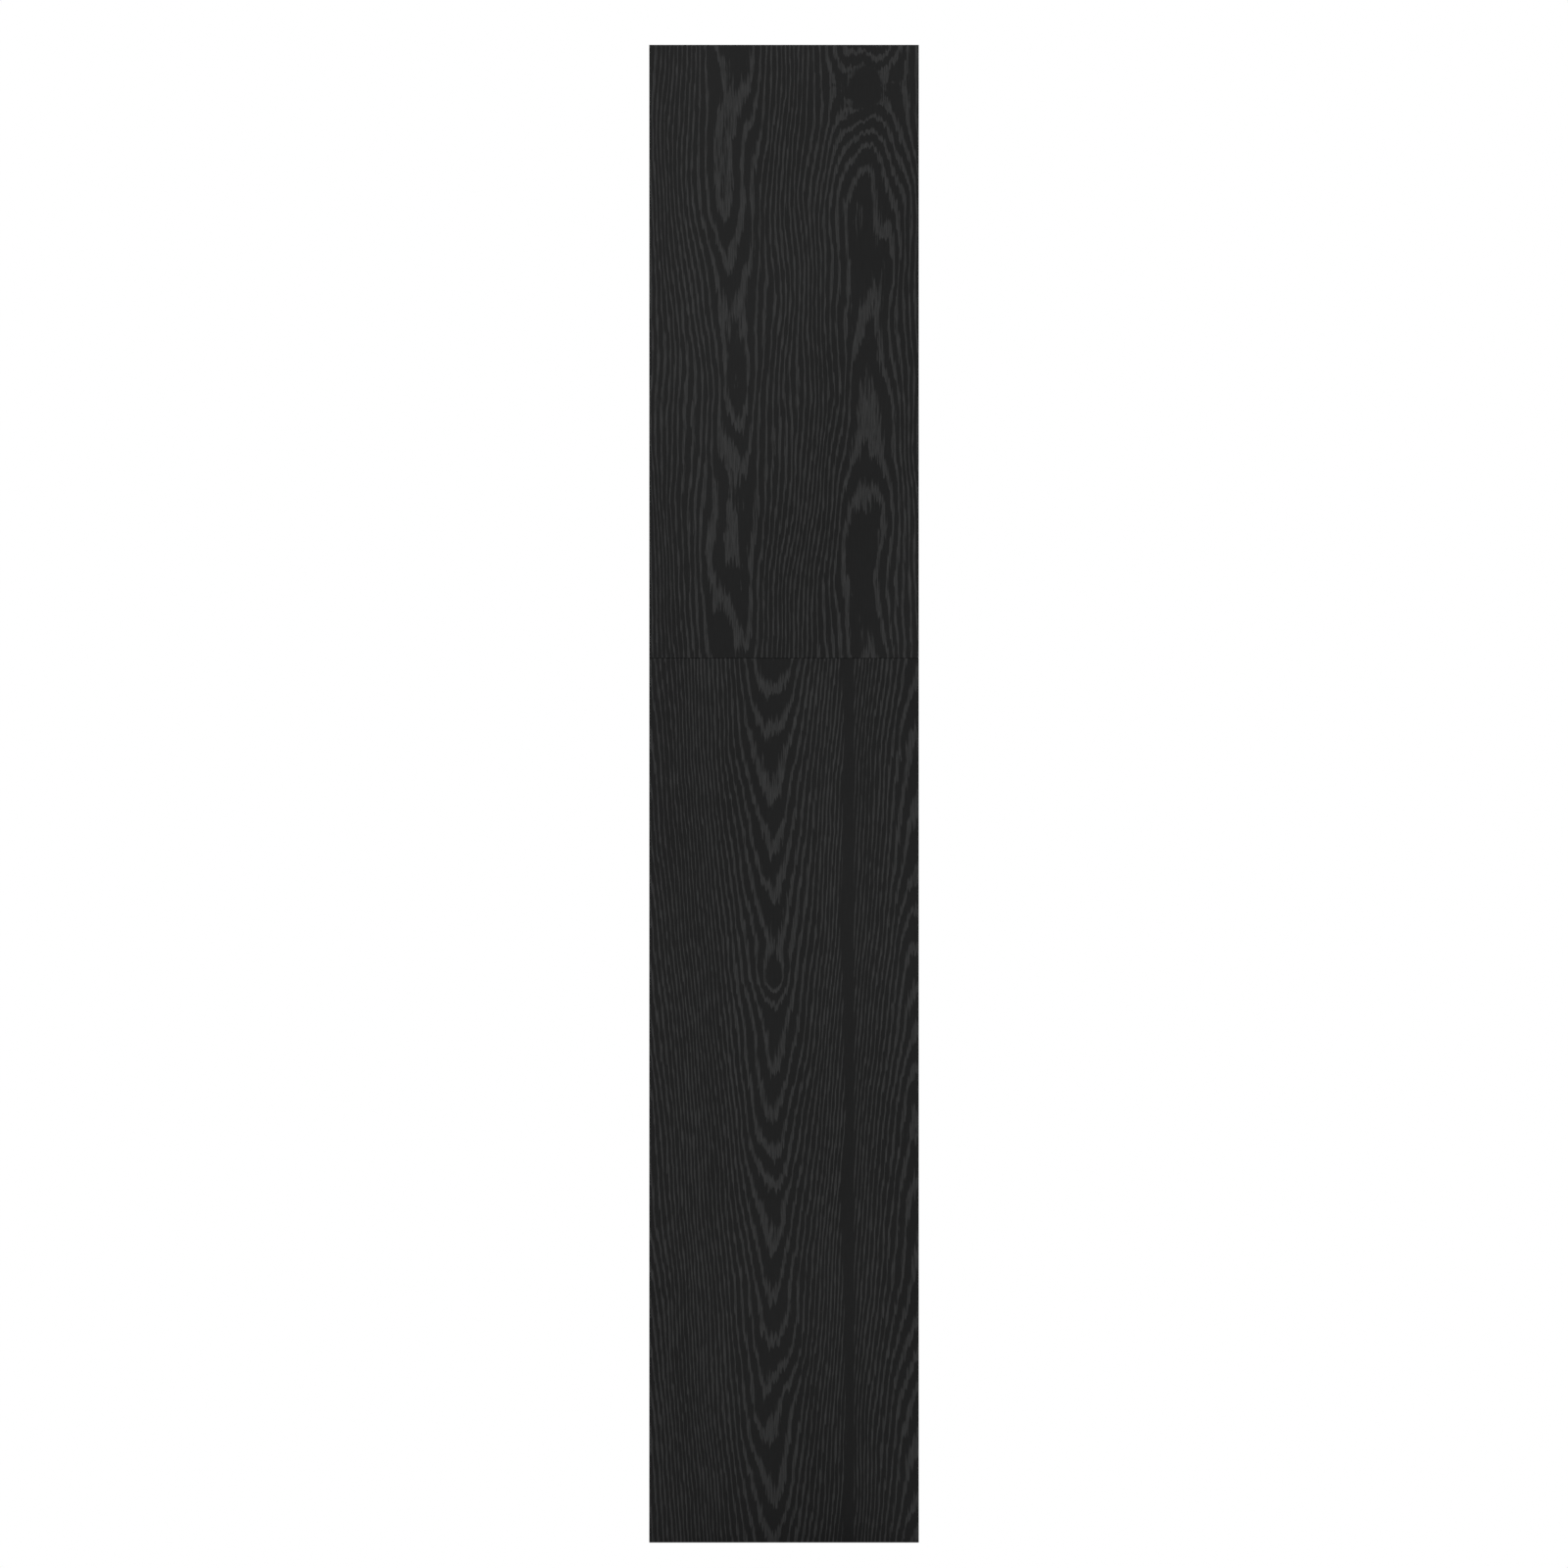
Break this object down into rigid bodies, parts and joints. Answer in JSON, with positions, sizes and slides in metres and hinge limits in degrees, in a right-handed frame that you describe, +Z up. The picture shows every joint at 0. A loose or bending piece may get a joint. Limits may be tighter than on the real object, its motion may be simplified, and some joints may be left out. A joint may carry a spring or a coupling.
{
  "type": "grandfather clock",
  "caption": "Tall plain black oak longcase clock in two stacked sections, with glazed doors, a weight-driven brass movement, a white dial and a long seconds pendulum.",
  "frame": {"origin": "middle of the footprint, on the floor", "axes": "+Z up; the doors and the dial face -Y; +X is the right-hand side as seen from the front"},
  "size_m": [0.44, 0.324, 1.8],
  "materials": {
    "black_oak": "matt oak-grain laminate",
    "black_board": "plain black fibreboard",
    "bright_steel": "fine brushed",
    "zinc_steel": "zinc plated",
    "cable_steel": "stranded wire",
    "blued_steel": "heat blued",
    "rod_steel": "drawn, lacquered",
    "black_iron": "black japanned",
    "black_plastic": "moulded",
    "clear_glass": "float glass",
    "dial_enamel": "silvered white, satin",
    "black_paint": "satin",
    "brass": "polished and lacquered"
  },
  "bodies": {
    "case": {"lower_side_left": "black_oak", "lower_side_right": "black_oak", "upper_side_left": "black_oak", "upper_side_right": "black_oak", "top_panel": "black_oak", "bottom_panel": "black_oak", "plinth_boards": "black_oak", "front_rails": "black_oak", "rear_rails": "black_oak", "lower_back": "black_board", "upper_back": "black_board", "joining_bolts": "bright_steel", "hinge_bushes": "brass", "magnet_catches": "black_plastic", "lock_keeper": "bright_steel", "levelling_feet": "black_plastic", "wall_bracket": "zinc_steel", "seat_cheeks": "black_oak", "seatboard": "black_oak", "front_plate": "brass", "back_plate": "brass", "plate_pillars": "brass", "movement_brackets": "bright_steel", "dial_plate": "dial_enamel", "chapter_ring": "brass", "hour_markers": "black_paint", "suspension_cock": "brass", "gong_coil": "blued_steel", "gong_block": "black_iron"},
    "hood_door": {"hood_door_frame": "black_oak", "hood_glass": "clear_glass", "hood_glass_beads": "black_oak", "hood_door_pins": "bright_steel"},
    "trunk_door": {"trunk_door_frame": "black_oak", "trunk_glass": "clear_glass", "trunk_glass_beads": "black_oak", "trunk_door_pins": "bright_steel", "trunk_lock_body": "bright_steel"},
    "lock_plug": {"trunk_lock_plug": "brass"},
    "centre_arbor": {"centre_wheel": "brass", "cannon_pinion": "brass", "minute_hand": "blued_steel"},
    "great_wheel": {"great_wheel": "brass"},
    "third_arbor": {"third_wheel": "brass"},
    "escape_arbor": {"escape_wheel": "brass", "seconds_hand": "blued_steel"},
    "minute_wheel": {"minute_wheel": "brass"},
    "hour_pipe": {"hour_wheel": "brass", "hour_hand": "blued_steel"},
    "anchor": {"anchor_crutch": "bright_steel"},
    "pendulum": {"pendulum_rod": "rod_steel"},
    "bob": {"pendulum_bob": "brass"},
    "rating_nut": {"rating_nut": "brass"},
    "weight": {"clock_weight": "brass", "pulley_stirrup": "bright_steel", "cable_fall": "cable_steel", "cable_return": "cable_steel"},
    "pulley": {"cable_pulley": "brass"},
    "drum": {"winding_drum": "brass"},
    "hammer": {"strike_hammer": "bright_steel"}
  },
  "joints": [
    {"name": "hood_door_hinge", "type": "hinge", "parent": "case", "child": "hood_door", "pos_m": [0.1875, -0.155, 1.4315], "axis": [0, 0, 1], "range_deg": [0, 100]},
    {"name": "trunk_door_hinge", "type": "hinge", "parent": "case", "child": "trunk_door", "pos_m": [0.1875, -0.155, 0.5725], "axis": [0, 0, 1], "range_deg": [0, 100]},
    {"name": "lock_turn", "type": "hinge", "parent": "trunk_door", "child": "lock_plug", "pos_m": [-0.179, -0.15, 0.6225], "axis": [0, 1, 0], "range_deg": [0, 90]},
    {"name": "centre_turn", "type": "hinge", "parent": "case", "child": "centre_arbor", "pos_m": [0, -0.07, 1.575], "axis": [0, 1, 0], "continuous": true},
    {"name": "great_wheel_turn", "type": "hinge", "parent": "case", "child": "great_wheel", "pos_m": [0, -0.031, 1.523], "axis": [0, 1, 0], "continuous": true},
    {"name": "third_turn", "type": "hinge", "parent": "case", "child": "third_arbor", "pos_m": [0.01573, -0.05, 1.60229], "axis": [0, 1, 0], "continuous": true},
    {"name": "escape_turn", "type": "hinge", "parent": "case", "child": "escape_arbor", "pos_m": [0, -0.035, 1.625], "axis": [0, 1, 0], "continuous": true},
    {"name": "minute_wheel_turn", "type": "hinge", "parent": "case", "child": "minute_wheel", "pos_m": [0.032, -0.087, 1.575], "axis": [0, 1, 0], "continuous": true},
    {"name": "hour_turn", "type": "hinge", "parent": "case", "child": "hour_pipe", "pos_m": [0, -0.093, 1.575], "axis": [0, 1, 0], "continuous": true},
    {"name": "pendulum_swing", "type": "hinge", "parent": "case", "child": "pendulum", "pos_m": [0, 0.02, 1.652], "axis": [0, 1, 0], "range_deg": [-2.5, 2.5]},
    {"name": "anchor_rock", "type": "hinge", "parent": "case", "child": "anchor", "pos_m": [0, -0.035, 1.652], "axis": [0, 1, 0], "range_deg": [-2.5, 2.5]},
    {"name": "bob_rate", "type": "slide", "parent": "pendulum", "child": "bob", "axis": [0, 0, 1], "range_m": [-0.003, 0.003]},
    {"name": "nut_turn", "type": "hinge", "parent": "bob", "child": "rating_nut", "pos_m": [0, 0.02, 0.561], "axis": [0, 0, 1], "range_deg": [-1545, 1545]},
    {"name": "weight_drop", "type": "slide", "parent": "case", "child": "weight", "axis": [0, 0, 1], "range_m": [-0.7, 0.2], "deforming": ["cable_fall", "cable_return"]},
    {"name": "drum_turn", "type": "hinge", "parent": "case", "child": "drum", "pos_m": [0, -0.0505, 1.523], "axis": [0, 1, 0], "range_deg": [-4015, 1150]},
    {"name": "pulley_turn", "type": "hinge", "parent": "weight", "child": "pulley", "pos_m": [0, -0.0505, 1.18], "axis": [0, 1, 0], "range_deg": [-2010, 576]},
    {"name": "hammer_lift", "type": "hinge", "parent": "case", "child": "hammer", "pos_m": [-0.048, 0.02, 1.495], "axis": [0, 1, 0], "range_deg": [0, 14], "stiffness_Nm_per_rad": 0.01, "springref_deg": -17.19}
  ],
  "couplings": [
    {"joint": "great_wheel_turn", "follows": "centre_turn", "ratio": -0.083333},
    {"joint": "third_turn", "follows": "centre_turn", "ratio": -8},
    {"joint": "escape_turn", "follows": "centre_turn", "ratio": 60},
    {"joint": "minute_wheel_turn", "follows": "centre_turn", "ratio": -0.33333},
    {"joint": "hour_turn", "follows": "centre_turn", "ratio": 0.083333},
    {"joint": "anchor_rock", "follows": "pendulum_swing", "ratio": 1},
    {"joint": "nut_turn", "follows": "bob_rate", "rad_per_m": 8976},
    {"joint": "drum_turn", "follows": "weight_drop", "rad_per_m": 100},
    {"joint": "pulley_turn", "follows": "weight_drop", "rad_per_m": 50}
  ]
}
